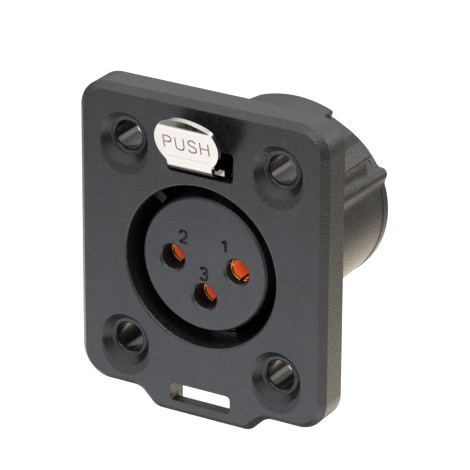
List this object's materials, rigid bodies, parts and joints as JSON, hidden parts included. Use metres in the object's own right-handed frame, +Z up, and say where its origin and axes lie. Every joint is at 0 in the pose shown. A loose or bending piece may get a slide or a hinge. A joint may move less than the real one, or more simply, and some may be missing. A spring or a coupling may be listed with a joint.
{
  "type": "xlr panel socket",
  "caption": "Three-pole panel socket with a rectangular four-hole flange, a push latch above the plug bore and solder cups behind.",
  "frame": {"origin": "on the socket axis, in the plane where the flange meets the panel", "axes": "+X to the right seen from the front, +Y along the socket axis into the panel, +Z up; the front faces -Y"},
  "size_m": [0.0316, 0.0342, 0.0383],
  "materials": {
    "housing_plastic": "satin moulded",
    "insert_plastic": "satin moulded",
    "cap_plastic": "satin moulded",
    "contact_gold": "gold plated",
    "latch_steel": "bright nickel plated",
    "pin_steel": "drawn",
    "spring_steel": "drawn wire",
    "tinned_strip": "tinned"
  },
  "bodies": {
    "socket": {"housing": "housing_plastic", "contact_insert": "insert_plastic", "contact_1": "contact_gold", "contact_2": "contact_gold", "contact_3": "contact_gold", "rear_cap": "cap_plastic", "latch_pin": "pin_steel", "latch_spring": "spring_steel", "latch_cover": "cap_plastic", "shell_contact": "tinned_strip"},
    "latch": {"latch_lever": "latch_steel"}
  },
  "joints": [
    {"name": "latch_press", "type": "hinge", "parent": "socket", "child": "latch", "pos_m": [0, 0.015, 0.01115], "axis": [-1, 0, 0], "range_deg": [0, 5], "stiffness_Nm_per_rad": 0.06, "springref_deg": -8.59, "deforming": ["latch_spring"]}
  ]
}
